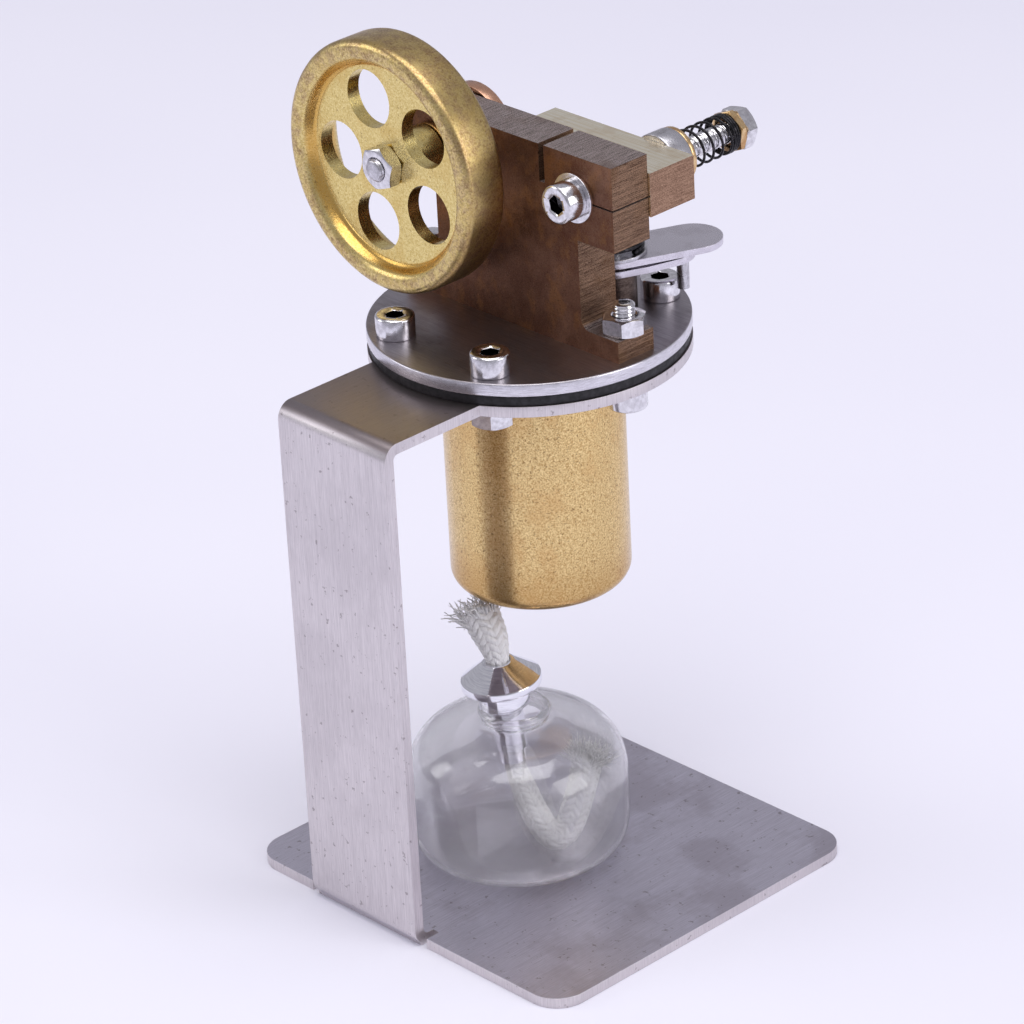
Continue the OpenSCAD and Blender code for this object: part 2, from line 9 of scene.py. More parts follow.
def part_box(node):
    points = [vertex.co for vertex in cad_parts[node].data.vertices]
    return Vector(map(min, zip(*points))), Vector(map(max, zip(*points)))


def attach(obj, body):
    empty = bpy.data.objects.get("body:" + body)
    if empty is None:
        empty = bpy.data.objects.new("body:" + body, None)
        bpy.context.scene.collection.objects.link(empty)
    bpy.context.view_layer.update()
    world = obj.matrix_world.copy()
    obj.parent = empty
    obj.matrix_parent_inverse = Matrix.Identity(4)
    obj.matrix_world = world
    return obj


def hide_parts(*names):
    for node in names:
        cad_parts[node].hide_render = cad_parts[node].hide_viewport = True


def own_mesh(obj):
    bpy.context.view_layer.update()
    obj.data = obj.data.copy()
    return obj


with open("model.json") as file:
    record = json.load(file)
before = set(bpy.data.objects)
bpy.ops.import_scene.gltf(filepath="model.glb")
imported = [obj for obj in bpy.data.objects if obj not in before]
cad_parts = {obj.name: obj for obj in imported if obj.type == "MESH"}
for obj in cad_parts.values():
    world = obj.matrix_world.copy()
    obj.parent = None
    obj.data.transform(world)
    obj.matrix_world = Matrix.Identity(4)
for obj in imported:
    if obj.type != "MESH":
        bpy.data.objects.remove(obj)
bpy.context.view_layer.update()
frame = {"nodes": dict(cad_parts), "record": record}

MM = 0.001
TAU = 2 * math.pi
scene = bpy.context.scene
X, Y, Z = 0, 1, 2
BOX = {name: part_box(name) for name in frame["nodes"]}


def low(node):
    return BOX[node][0]


def high(node):
    return BOX[node][1]


def middle(node):
    return (low(node) + high(node)) / 2


# ---------- camera and light ----------

# azimuth, elevation and roll of the camera in degrees, and its target and distance in mm
CAMERA_ANGLES = (47.393, 26.711, -3.024)
CAMERA_TARGET = (5.731, -11.731, 69.874)
CAMERA_DISTANCE = 864.062
CAMERA_LENS, CAMERA_SENSOR, CAMERA_REACH = 173.6, 36, 20


def make_camera():
    azimuth, elevation, roll = (math.radians(a) for a in CAMERA_ANGLES)
    target = Vector(CAMERA_TARGET) * MM
    distance = CAMERA_DISTANCE * MM
    back = Vector((math.sin(azimuth) * math.cos(elevation),
                   -math.cos(azimuth) * math.cos(elevation), math.sin(elevation)))
    right = Vector((math.cos(azimuth), math.sin(azimuth), 0))
    up = back.cross(right)
    side = right * math.cos(roll) + up * math.sin(roll)
    top = up * math.cos(roll) - right * math.sin(roll)
    data = bpy.data.cameras.new("camera")
    data.lens = CAMERA_LENS
    data.sensor_width = CAMERA_SENSOR
    data.clip_end = CAMERA_REACH
    camera = bpy.data.objects.new("camera", data)
    scene.collection.objects.link(camera)
    turn = Matrix((side, top, back)).transposed().to_4x4()
    camera.matrix_world = Matrix.Translation(target + back * distance) @ turn
    scene.camera = camera


WORLD_COLOR = (0.91, 0.9, 1, 1)
WORLD_LIGHT = 0.46
LAMP_COLOR = (1, 0.99, 1)
LAMP_TARGET = (0, 0, 80 * MM)
# place and size in metres, and power in watts
SOFTBOXES = {
    "overhead": ((0.15, -0.1, 1.35), (1.2, 1.2), 12),
    "right_box": ((1.15, 0.35, 0.55), (0.7, 0.8), 4.6),
    "left_box": ((-0.9, -0.75, 0.6), (0.6, 0.7), 2.6)}


def make_softbox(name, position, size, power):
    position = Vector(position)
    data = bpy.data.lights.new(name, "AREA")
    data.shape = "RECTANGLE"
    data.size, data.size_y = size
    data.energy = power
    data.color = LAMP_COLOR
    light = bpy.data.objects.new(name, data)
    scene.collection.objects.link(light)
    light.location = position
    light.rotation_euler = (Vector(LAMP_TARGET) - position).to_track_quat("-Z", "Y").to_euler()


def make_light():
    scene.view_settings.view_transform = "Standard"
    world = bpy.data.worlds.new("studio")
    scene.world = world
    world.use_nodes = True
    background = world.node_tree.nodes["Background"]
    background.inputs["Color"].default_value = WORLD_COLOR
    background.inputs["Strength"].default_value = WORLD_LIGHT
    for name, (position, size, power) in SOFTBOXES.items():
        make_softbox(name, position, size, power)


# ---------- material graphs ----------

def rgb(red, green, blue):
    """linear colour of an sRGB colour given as 0 to 255"""
    return tuple(((c / 255 + 0.055) / 1.055) ** 2.4 for c in (red, green, blue)) + (1,)


NOISE_ROUGHNESS = 0.6
NOISE_RANGE = (0.28, 0.72)
# a vertex whose ridge is RECESS lies in the hollow of a screw head, where steel_fastener paints
# shade
RECESS = 2


class Paint:
    """node graph of one material; place is the surface point in mm, facing its normal's parts"""

    def __init__(self, name, **constants):
        self.material = bpy.data.materials.new(name)
        self.material.use_nodes = True
        self.tree = self.material.node_tree
        self.shader = self.tree.nodes["Principled BSDF"]
        for socket, value in constants.items():
            self.shader.inputs[socket.replace("_", " ")].default_value = value
        coordinates = self.tree.nodes.new("ShaderNodeTexCoord")
        self.place = self.vector("MULTIPLY", coordinates.outputs["Object"], (1000, 1000, 1000))
        self.facing = self.parts(coordinates.outputs["Normal"])

    def put(self, socket, value):
        if isinstance(value, bpy.types.NodeSocket):
            self.tree.links.new(value, socket)
        else:
            socket.default_value = value

    def vector(self, kind, a, b):
        node = self.tree.nodes.new("ShaderNodeVectorMath")
        node.operation = kind
        self.put(node.inputs[0], a)
        self.put(node.inputs[1], b)
        return node.outputs["Value" if kind in ("LENGTH", "DISTANCE") else "Vector"]

    def parts(self, vector):
        node = self.tree.nodes.new("ShaderNodeSeparateXYZ")
        self.put(node.inputs[0], vector)
        return node.outputs

    def math(self, kind, a, b=0.0):
        node = self.tree.nodes.new("ShaderNodeMath")
        node.operation = kind
        self.put(node.inputs[0], a)
        self.put(node.inputs[1], b)
        return node.outputs[0]

    def level(self, value, start, stop, to_start=0.0, to_stop=1.0):
        node = self.tree.nodes.new("ShaderNodeMapRange")
        node.interpolation_type = "SMOOTHSTEP"
        sockets = (value, start, stop, to_start, to_stop)
        for socket, entry in zip(node.inputs, sockets):
            self.put(socket, entry)
        return node.outputs[0]

    def grain(self, stretch, detail=3.0, shift=0.0):
        """noise from 0 to 1 whose frequency along each axis is given per millimetre"""
        if not isinstance(stretch, tuple):
            stretch = (stretch, stretch, stretch)
        node = self.tree.nodes.new("ShaderNodeTexNoise")
        scaled = self.vector("MULTIPLY", self.place, stretch)
        self.put(node.inputs["Vector"], self.vector("ADD", scaled, (shift, shift, shift)))
        node.inputs["Scale"].default_value = 1
        node.inputs["Detail"].default_value = detail
        node.inputs["Roughness"].default_value = NOISE_ROUGHNESS
        return self.level(node.outputs["Fac"], *NOISE_RANGE)

    def mix(self, factor, a, b):
        """colour a turning into colour b"""
        node = self.tree.nodes.new("ShaderNodeMix")
        node.data_type = "RGBA"
        self.put(node.inputs[0], factor)
        self.put(node.inputs[6], a)
        self.put(node.inputs[7], b)
        return node.outputs[2]

    def blend(self, factor, a, b):
        """number a turning into number b"""
        node = self.tree.nodes.new("ShaderNodeMix")
        self.put(node.inputs[0], factor)
        self.put(node.inputs[2], a)
        self.put(node.inputs[3], b)
        return node.outputs[0]

    def ridge(self):
        """the mesh attribute that Solid stores: 0 on a mesh without it"""
        node = self.tree.nodes.new("ShaderNodeAttribute")
        node.attribute_name = "ridge"
        return node.outputs["Fac"]

    def turned_to(self, axis, start=0.55, stop=0.8):
        """1 where the surface faces along the axis, either way"""
        return self.level(self.math("ABSOLUTE", self.facing[axis]), start, stop)

    def radius(self, centre, axis):
        """distance in millimetres from a line through centre along the axis"""
        keep = [1.0, 1.0, 1.0]
        keep[axis] = 0.0
        moved = self.vector("SUBTRACT", self.place, tuple(c / MM for c in centre))
        return self.vector("LENGTH", self.vector("MULTIPLY", moved, tuple(keep)), (0, 0, 0))

    def done(self, color, roughness, height=None, depth=0.01):
        """depth is the height of the relief in millimetres"""
        self.put(self.shader.inputs["Base Color"], color)
        self.put(self.shader.inputs["Roughness"], roughness)
        if height is not None:
            node = self.tree.nodes.new("ShaderNodeBump")
            node.inputs["Distance"].default_value = depth * MM
            self.put(node.inputs["Height"], height)
            self.put(self.shader.inputs["Normal"], node.outputs[0])
        return self.material


def along(axis, across, down):
    """stretch of a line texture: fine across, long along the axis"""
    return tuple(down if i == axis else across for i in range(3))


# heights in mm between which the level sheet turns brown, and of the boiler's browned bottom
STRAP_HEIGHTS = (90, 96)
HEATED_HEIGHT = 12


def steel_sheet():
    """brushed sheet: lines up the leg and along the base, a few pits, a strap browned by heat, and
    a painted bluish reflection on the level faces
    """
    p = Paint("steel_sheet", Metallic=1.0)
    flat = p.turned_to(Z, 0.35, 0.8)
    lines = p.blend(flat, p.grain(along(Z, 6, 0.08)), p.grain(along(Y, 5, 0.07)))
    fine = p.blend(flat, p.grain(along(Z, 17, 0.4), 2), p.grain(along(Y, 15, 0.3), 2))
    cloud = p.grain(0.06, 4, 7)
    both = p.blend(0.55, lines, fine)
    upright = p.mix(both, rgb(196, 190, 192), rgb(228, 222, 223))
    # painted reflection: the level faces get a bluer, slightly darker copy of the sheet colour,
    # mirroring the lavender surroundings
    level_sheet_reflected = p.mix(both, rgb(186, 182, 194), rgb(220, 216, 230))
    color = p.mix(flat, upright, level_sheet_reflected)
    color = p.mix(p.level(cloud, 0.3, 1, 0, 0.2), color, rgb(172, 166, 170))
    stain = p.math("MULTIPLY", flat, p.level(cloud, 0.3, 0.9, 0, 0.4))
    color = p.mix(stain, color, rgb(168, 160, 172))
    strap = p.math("MULTIPLY", flat, p.level(p.parts(p.place)[Z], *STRAP_HEIGHTS, 0, 0.85))
    color = p.mix(strap, color, rgb(128, 117, 114))
    pits = p.level(p.grain(0.8, 3, 21), 0.93, 1, 0, 0.5)
    color = p.mix(pits, color, rgb(108, 96, 96))
    return p.done(color, p.level(both, 0, 1, 0.4, 0.3), both, 0.01)


def boiler_brass():
    """finely blasted brass with dark specks, browner towards its heated bottom"""
    p = Paint("boiler_brass", Metallic=1.0)
    speck = p.grain(3.4, 4)
    cloud = p.grain((0.16, 0.16, 0.1), 4, 3)
    lines = p.grain(along(Z, 2.6, 0.06), 2)
    color = p.mix(speck, rgb(184, 148, 92), rgb(246, 220, 160))
    color = p.mix(p.level(cloud, 0.45, 1, 0, 0.4), color, rgb(206, 164, 106))
    color = p.mix(p.level(p.grain(2.1, 2, 11), 0.8, 1, 0, 0.6), color, rgb(104, 72, 40))
    bottom = low("boiler_shell").z / MM
    heat = p.level(p.parts(p.place)[Z], bottom, bottom + HEATED_HEIGHT, 0.45, 0)
    color = p.mix(heat, color, rgb(168, 122, 60))
    height = p.blend(0.3, speck, lines)
    return p.done(color, p.level(speck, 0, 1, 0.27, 0.18), height, 0.007)


def gasket_rubber():
    """dusty black rubber"""
    p = Paint("gasket_rubber", Specular_IOR_Level=0.4)
    dust = p.grain(0.9, 4)
    color = p.mix(dust, rgb(18, 17, 19), rgb(40, 38, 42))
    return p.done(color, p.level(dust, 0, 1, 0.62, 0.45), p.grain(5), 0.02)


def plate_steel():
    """brushed top with dark clouds, and a bright turned rim"""
    p = Paint("plate_steel", Metallic=1.0)
    top = p.turned_to(Z)
    lines = p.grain(along(X, 5, 0.06))
    fine = p.grain(along(X, 15, 0.35), 2)
    turned = p.grain(along(Z, 0.5, 9), 2)
    cloud = p.grain(0.1, 4, 5)
    both = p.blend(0.5, lines, fine)
    face = p.mix(both, rgb(134, 128, 133), rgb(178, 172, 178))
    face = p.mix(p.level(cloud, 0.4, 1, 0, 0.4), face, rgb(118, 108, 110))
    rim = p.mix(turned, rgb(196, 193, 199), rgb(228, 226, 232))
    rough = p.blend(top, p.level(turned, 0, 1, 0.34, 0.24), p.level(both, 0, 1, 0.4, 0.27))
    return p.done(p.mix(top, rim, face), rough, p.blend(top, turned, both), 0.008)


def steel_fastener():
    """polished steel with a thin film of grease; the hollow of a socket is darkened with painted
    shade
    """
    p = Paint("steel_fastener", Metallic=1.0)
    film = p.grain(1.1, 4)
    fine = p.grain(7, 2)
    color = p.mix(film, rgb(200, 198, 202), rgb(236, 235, 238))
    # painted shade: the socket's hollow turns near black
    painted_socket_shade = p.level(p.ridge(), 1.2, RECESS, 0, 0.88)
    color = p.mix(painted_socket_shade, color, rgb(40, 36, 36))
    return p.done(color, p.level(film, 0, 1, 0.18, 0.09), fine, 0.003)


def frame_bronze():
    """cast bronze: mottled patina on the broad faces, saw marks on the others"""
    p = Paint("frame_bronze", Metallic=1.0)
    face = p.turned_to(Y)
    top = p.turned_to(Z)
    cloud = p.grain((0.13, 0.13, 0.1), 5)
    blot = p.grain(0.5, 5, 14)
    fleck = p.grain(2.6, 4, 9)
    golden = p.grain((0.22, 0.22, 0.16), 5, 2)
    saw = p.grain(along(Y, 6.5, 0.05), 2)
    saw_fine = p.grain(along(Y, 15, 0.3), 2)
    dots = p.grain(7, 3, 4)
    mark = p.level(p.blend(0.45, p.blend(0.55, saw, saw_fine), dots), 0.3, 0.7)
    patina = p.mix(cloud, rgb(92, 58, 44), rgb(134, 98, 78))
    patina = p.mix(p.level(blot, 0.4, 1, 0, 0.5), patina, rgb(96, 60, 42))
    patina = p.mix(p.level(golden, 0.5, 1, 0, 0.5), patina, rgb(150, 104, 62))
    patina = p.mix(p.level(fleck, 0.6, 1, 0, 0.55), patina, rgb(58, 38, 30))
    patina = p.mix(p.level(dots, 0.55, 1, 0, 0.35), patina, rgb(164, 130, 100))
    end = p.mix(mark, rgb(80, 58, 46), rgb(164, 132, 106))
    end = p.mix(p.level(cloud, 0.5, 1, 0, 0.4), end, rgb(118, 84, 54))
    sawn = p.mix(mark, rgb(62, 49, 46), rgb(184, 170, 166))
    sawn = p.mix(p.level(cloud, 0.55, 1, 0, 0.5), sawn, rgb(104, 84, 74))
    color = p.mix(top, p.mix(face, end, patina), sawn)
    rough = p.blend(face, p.level(mark, 0, 1, 0.55, 0.36), p.level(blot, 0, 1, 0.46, 0.32))
    return p.done(color, rough, p.blend(face, mark, p.blend(0.5, fleck, dots)), 0.03)


def turned_metal(name, dark, bright, stain, rough=(0.38, 0.22), axis=Y):
    """turned metal: fine rings round the axis, flecks and cloudy stains"""
    p = Paint(name, Metallic=1.0)
    lines = p.grain(along(axis, 0.6, 7), 3)
    fleck = p.grain(2.8, 4, 4)
    cloud = p.grain(0.35, 4, 8)
    both = p.blend(0.5, lines, fleck)
    color = p.mix(both, dark, bright)
    color = p.mix(p.level(cloud, 0.45, 1, 0, 0.6), color, stain)
    return p.done(color, p.level(both, 0, 1, rough[0], rough[1]), both, 0.01)


def bush_bronze():
    return turned_metal("bush_bronze", rgb(150, 112, 66), rgb(214, 172, 112), rgb(120, 78, 46))


def wheel_brass():
    """cast brass: clean yellow web and speckled brown rim; the cove gets a deeper yellow as
    painted shade and bounced light
    """
    p = Paint("wheel_brass", Metallic=1.0)
    reach = p.radius(middle("flywheel"), Y)
    edge = (high("flywheel").x - middle("flywheel").x) / MM
    outside = p.level(reach, edge - 4, edge - 2.8)
    corner = p.math("MULTIPLY", p.level(reach, edge - 1.6, edge - 0.6),
                    p.level(p.math("ABSOLUTE", p.facing[Y]), 0.95, 0.5))
    # band round the cove, where shade and warm bounced light are painted
    inner = p.level(p.math("ABSOLUTE", p.math("SUBTRACT", reach, edge - 4.4)), 1, 0.3)
    speck = p.grain(3.2, 4)
    cloud = p.grain(0.22, 4, 8)
    color = p.mix(speck, rgb(206, 182, 110), rgb(242, 222, 154))
    color = p.mix(p.level(cloud, 0.4, 1, 0, 0.35), color, rgb(206, 172, 94))
    brown = p.mix(speck, rgb(136, 106, 72), rgb(206, 180, 138))
    patch = p.blend(0.45, p.grain(0.5, 5, 2), p.grain(2, 4, 6))
    spread = p.level(patch, 0.25, 0.8, 0.2, 0.85)
    color = p.mix(p.math("MULTIPLY", outside, spread), color, brown)
    color = p.mix(p.math("MULTIPLY", corner, 0.35), color, rgb(138, 104, 66))
    # painted shade and bounced light: the cove turns a deeper orange-yellow
    color = p.mix(p.math("MULTIPLY", inner, 0.65), color, rgb(208, 154, 64))
    color = p.mix(p.level(p.grain(1.7, 3, 31), 0.88, 1, 0, 0.5), color, rgb(104, 74, 42))
    rough = p.blend(outside, p.level(speck, 0, 1, 0.3, 0.2), p.level(speck, 0, 1, 0.38, 0.28))
    return p.done(color, rough, speck, 0.006)


def bright_steel():
    return turned_metal("bright_steel", rgb(168, 167, 172), rgb(224, 222, 227), rgb(150, 146, 148))


def disc_bronze():
    return turned_metal("disc_bronze", rgb(178, 130, 104), rgb(228, 184, 156), rgb(146, 98, 72))


def block_brass():
    """milled brass whose two ends are sawn"""
    p = Paint("block_brass", Metallic=1.0)
    end = p.turned_to(X)
    lines = p.grain(along(X, 3.2, 0.07), 3)
    saw = p.grain(along(Y, 6, 0.3), 3, 2)
    fine = p.grain((6, 5, 7), 3, 5)
    cloud = p.grain(0.25, 4, 8)
    side = p.mix(lines, rgb(244, 230, 198), rgb(255, 250, 228))
    side = p.mix(p.level(cloud, 0.5, 1, 0, 0.35), side, rgb(222, 198, 158))
    cut = p.blend(0.6, saw, fine)
    sawn = p.mix(cut, rgb(96, 66, 50), rgb(190, 156, 130))
    height = p.blend(0.4, p.blend(end, lines, cut), fine)
    return p.done(p.mix(end, side, sawn), p.blend(end, 0.17, 0.45), height, 0.015)


def black_spring():
    """blackened wire, worn bright in places"""
    p = Paint("black_spring", Metallic=0.6)
    wear = p.grain(2.2, 4)
    color = p.mix(p.level(wear, 0.6, 1), rgb(24, 23, 27), rgb(74, 70, 74))
    return p.done(color, p.level(wear, 0, 1, 0.34, 0.22), p.grain(8), 0.004)


def nut_brass():
    return turned_metal("nut_brass", rgb(198, 160, 108), rgb(242, 214, 168),
                        rgb(168, 118, 70), (0.3, 0.16))


def dark_bronze():
    return turned_metal("dark_bronze", rgb(62, 52, 48), rgb(112, 98, 90),
                        rgb(44, 34, 30), (0.45, 0.3), Z)


def lever_steel():
    """satin sheet steel"""
    p = Paint("lever_steel", Metallic=1.0)
    lines = p.grain((7, 7, 7), 3)
    cloud = p.grain(0.22, 4, 8)
    color = p.mix(lines, rgb(200, 196, 204), rgb(228, 224, 232))
    color = p.mix(p.level(cloud, 0.5, 1, 0, 0.3), color, rgb(174, 168, 174))
    return p.done(color, p.level(lines, 0, 1, 0.3, 0.24), lines, 0.002)


def clear_glass():
    """clear blown glass with slow ripples; partly see-through, so that light gets in"""
    p = Paint("clear_glass", Transmission_Weight=1.0, IOR=1.45, Alpha=0.75,
              Coat_Weight=0.5, Coat_Roughness=0.0)
    ripple = p.grain(0.08, 1)
    return p.done(rgb(255, 255, 255), 0.0, ripple, 0.1)


def collar_chrome():
    """polished and finely turned"""
    p = Paint("collar_chrome", Metallic=1.0)
    lines = p.grain(along(Z, 0.4, 6), 2)
    color = p.mix(lines, rgb(226, 226, 232), rgb(244, 244, 248))
    return p.done(color, p.level(lines, 0, 1, 0.1, 0.05), lines, 0.002)


def wick_cotton():
    """matt white cotton, with painted shade between the strands"""
    p = Paint("wick_cotton", Sheen_Weight=0.5, Specular_IOR_Level=0.15)
    ridge = p.ridge()
    fibre = p.grain(6, 4)
    # painted shade: where the braid's ridge is low, between the strands, the cotton turns greyer
    color = p.mix(p.level(ridge, 0, 0.6), rgb(226, 222, 222), rgb(255, 254, 254))
    color = p.mix(p.level(fibre, 0.4, 1, 0, 0.2), color, rgb(232, 229, 228))
    return p.done(color, 0.9, fibre, 0.1)


MAKERS = (steel_sheet, boiler_brass, gasket_rubber, plate_steel, steel_fastener, frame_bronze,
          bush_bronze, wheel_brass, bright_steel, disc_bronze, block_brass, black_spring,
          nut_brass, dark_bronze, lever_steel, clear_glass, collar_chrome, wick_cotton)
MATERIALS = {maker.__name__: maker() for maker in MAKERS}
SLOT_OF = {part["node"]: part["material_slot"] for part in frame["record"]["subparts"]}


# ---------- floor ----------

FLOOR_STEPS = (-3, 0, 3)
FLOOR_DARK = (0.81, 0.8, 0.9, 1)
FLOOR_LIGHT = (0.84, 0.83, 0.92, 1)


def make_floor():
    """a sheet of pale paper, 2 by 2 faces of 3 m"""
    n = len(FLOOR_STEPS)
    points = [(x, y, 0) for y in FLOOR_STEPS for x in FLOOR_STEPS]
    faces = [(j * n + i, j * n + i + 1, (j + 1) * n + i + 1, (j + 1) * n + i)
             for j in range(n - 1) for i in range(n - 1)]
    mesh = bpy.data.meshes.new("floor")
    mesh.from_pydata(points, [], faces)
    floor = bpy.data.objects.new("floor", mesh)
    scene.collection.objects.link(floor)
    p = Paint("floor_paper", Specular_IOR_Level=0.2)
    cloud = p.grain(0.004, 2)
    mesh.materials.append(p.done(p.mix(cloud, FLOOR_DARK, FLOOR_LIGHT), 0.8))


# ---------- mesh helpers ----------

SHARP_ANGLE = 35
SMOOTH_ALL = 180
WELD_DISTANCE = 1e-6
EDGE_ANGLE = 40


def shade(mesh, sharp):
    """smooth shading that breaks at edges sharper than this angle"""
    mesh.shade_smooth()
    mesh.set_sharp_from_angle(angle=math.radians(sharp))


def weld(piece):
    piece.modifiers.new("weld", "WELD").merge_threshold = WELD_DISTANCE


def round_edges(piece, width):
    """small rounds on the sharp edges; width is in mm"""
    bevel = piece.modifiers.new("edge", "BEVEL")
    bevel.width = width * MM
    bevel.segments = 3
    bevel.limit_method = "ANGLE"
    bevel.angle_limit = math.radians(EDGE_ANGLE)
    bevel.harden_normals = True


class Solid:
    """collects rings of points into one mesh; ridge is a number stored at each point"""

    def __init__(self):
        self.points = []
        self.faces = []
        self.ridge = []

    def rows(self, rows, matrix=Matrix(), closed_ends=True, ridge=None):
        """skin over rows of points; each row is a closed ring"""
        n = len(rows[0])
        first = len(self.points)
        for row in rows:
            self.points.extend(matrix @ Vector(point) for point in row)
        self.ridge.extend(ridge if ridge else [1.0] * (n * len(rows)))
        for j in range(len(rows) - 1):
            a = first + j * n
            b = a + n
            for i in range(n):
                k = (i + 1) % n
                self.faces.append((a + i, a + k, b + k, b + i))
        if closed_ends:
            self.cap(first, n, rows[0], matrix, True)
            self.cap(first + (len(rows) - 1) * n, n, rows[-1], matrix, False)

    def cap(self, start, n, row, matrix, turned):
        """closes an end with a fan round its middle"""
        centre = sum((Vector(point) for point in row), Vector()) / n
        self.points.append(matrix @ centre)
        self.ridge.append(1.0)
        middle_point = len(self.points) - 1
        for i in range(n):
            a, b = start + i, start + (i + 1) % n
            self.faces.append((middle_point, b, a) if turned else (middle_point, a, b))

    def make(self, name, slot, body, nodes=(), sharp=SHARP_ANGLE):
        """the piece, riding on a body and standing for CAD nodes"""
        mesh = bpy.data.meshes.new(name)
        mesh.from_pydata(self.points, [], self.faces)
        mesh.validate()
        attribute = mesh.attributes.new("ridge", "FLOAT", "POINT")
        attribute.data.foreach_set("value", self.ridge)
        shade(mesh, sharp)
        piece = bpy.data.objects.new(name, mesh)
        scene.collection.objects.link(piece)
        mesh.materials.append(MATERIALS[slot])
        if nodes:
            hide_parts(*nodes)
        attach(piece, body)
        return piece


def ring(radius, z, n=48):
    """ring of points round Z; radius and z are numbers or functions of the angle"""
    row = []
    for i in range(n):
        a = TAU * i / n
        r = radius(a) if callable(radius) else radius
        h = z(a) if callable(z) else z
        row.append((r * math.cos(a), r * math.sin(a), h))
    return row


def hexagon(across):
    """radius of a hexagon with this width across its flats, by angle"""
    def radius(a):
        return across / 2 / math.cos((a + math.pi / 6) % (math.pi / 3) - math.pi / 6)
    return radius


# M4 fasteners: thread pitch and depth, shank and head radius, head height, key and nut sizes
PITCH = 0.7 * MM
THREAD = 0.22 * MM
M4 = 1.95 * MM
HEAD_RADIUS, HEAD_HEIGHT = 3.5 * MM, 4 * MM
SOCKET, SOCKET_FLOOR, SOCKET_TIP = 3 * MM, 2 * MM, 1.6 * MM
NUT_HEIGHT, NUT_WIDTH = 3.2 * MM, 7 * MM
NUT_CHAMFER = math.tan(math.radians(30))
ROWS_PER_PITCH = 7


def thread_rows(radius, start, stop, n=48):
    """rows of a screw thread from start to stop"""
    count = max(4, round(abs(stop - start) / PITCH * ROWS_PER_PITCH))
    rows = []
    for k in range(count + 1):
        z = start + (stop - start) * k / count

        def reach(a, z=z):
            phase = (z / PITCH - a / TAU) % 1
            return radius - THREAD * abs(2 * phase - 1) ** 1.3
        rows.append(ring(reach, z, n))
    return rows


def screw_end(radius, z, way):
    """chamfered flat end of a threaded shank; way is the direction out of the shank"""
    return [ring(radius - THREAD, z - way * 0.15 * MM), ring(radius - 2.2 * THREAD, z),
            ring(radius * 0.4, z)]


def cap_screw(solid, matrix, length, thread):
    """socket head screw pointing down, its head's underside at z = 0, threaded at its end"""
    r, h = HEAD_RADIUS, HEAD_HEIGHT
    key = hexagon(SOCKET)
    rows = [list(row) for row in screw_end(M4, -length, -1)[::-1]]
    rows += thread_rows(M4, -length + 0.3 * MM, -length + thread)
    rows += [ring(M4, -length + thread + 0.2 * MM), ring(M4, 0), ring(r - 0.12 * MM, 0),
             ring(r, 0.12 * MM), ring(r, h - 0.42 * MM), ring(r - 0.1 * MM, h - 0.2 * MM),
             ring(r - 0.34 * MM, h - 0.04 * MM), ring(r - 0.45 * MM, h),
             ring(SOCKET * 0.66, h), ring(lambda a: key(a) + 0.02 * MM, h - 0.22 * MM)]
    hollow = [ring(key, h - 0.28 * MM), ring(key, SOCKET_FLOOR), ring(SOCKET * 0.2, SOCKET_TIP)]
    ridge = [1.0] * sum(map(len, rows)) + [float(RECESS)] * sum(map(len, hollow))
    solid.rows(rows + hollow, matrix, ridge=ridge)


def hex_nut(solid, matrix, height=NUT_HEIGHT, bore=M4 + 0.02 * MM):
    """chamfered hexagon nut, underside at z = 0"""
    side = hexagon(NUT_WIDTH)
    flat = NUT_WIDTH / 2 - 0.12 * MM

    def bottom(a):
        return (side(a) - flat) * NUT_CHAMFER

    def upper(a):
        return height - bottom(a)
    rows = [ring(bore + 0.3 * MM, 0), ring(flat, 0), ring(side, bottom), ring(side, upper),
            ring(flat, height), ring(bore + 0.3 * MM, height), ring(bore, height - 0.3 * MM),
            ring(bore, 0.3 * MM), ring(bore + 0.3 * MM, 0)]
    solid.rows(rows, matrix, closed_ends=False)


def facing(direction, at):
    """matrix that stands local Z along direction, with its foot at a point"""
    turn = Vector(direction).to_track_quat("Z", "Y").to_matrix().to_4x4()
    return Matrix.Translation(at) @ turn


def turned(degrees):
    """matrix that turns about local Z"""
    return Matrix.Rotation(math.radians(degrees), 4, "Z")


def frames_along(path):
    """a point, a heading and two side vectors for each point, carried along without twist"""
    count = len(path)
    side = None
    found = []
    for i, point in enumerate(path):
        heading = (path[min(i + 1, count - 1)] - path[max(i - 1, 0)]).normalized()
        if side is None:
            side = heading.orthogonal().normalized()
        side = (side - heading * side.dot(heading)).normalized()
        found.append((point, heading, side, heading.cross(side)))
    return found


def tube_rows(path, radius, n):
    """rings of n points round a path; radius is a number, or a function of the share passed"""
    rows = []
    for i, (point, heading, side, other) in enumerate(frames_along(path)):
        r = radius(i / (len(path) - 1)) if callable(radius) else radius
        rows.append([point + (side * math.cos(TAU * k / n) + other * math.sin(TAU * k / n)) * r
                     for k in range(n)])
    return rows


# ---------- wick ----------

BURNER_TURN = math.radians(47)
BURNER = Vector((middle("glass_bowl").x, middle("glass_bowl").y, 0))
PLAIT_COLUMNS, PLAIT_SIDES, PLAIT_LENGTH = 10, 120, 1.3 * MM
PLAIT_SLANT = 0.95
PLAIT_DEPTH = 0.14
FUZZ = 0.12 * MM
YARN_STEPS, YARN_SIDES = 9, 5
YARN_RADIUS = (0.1, 0.24)
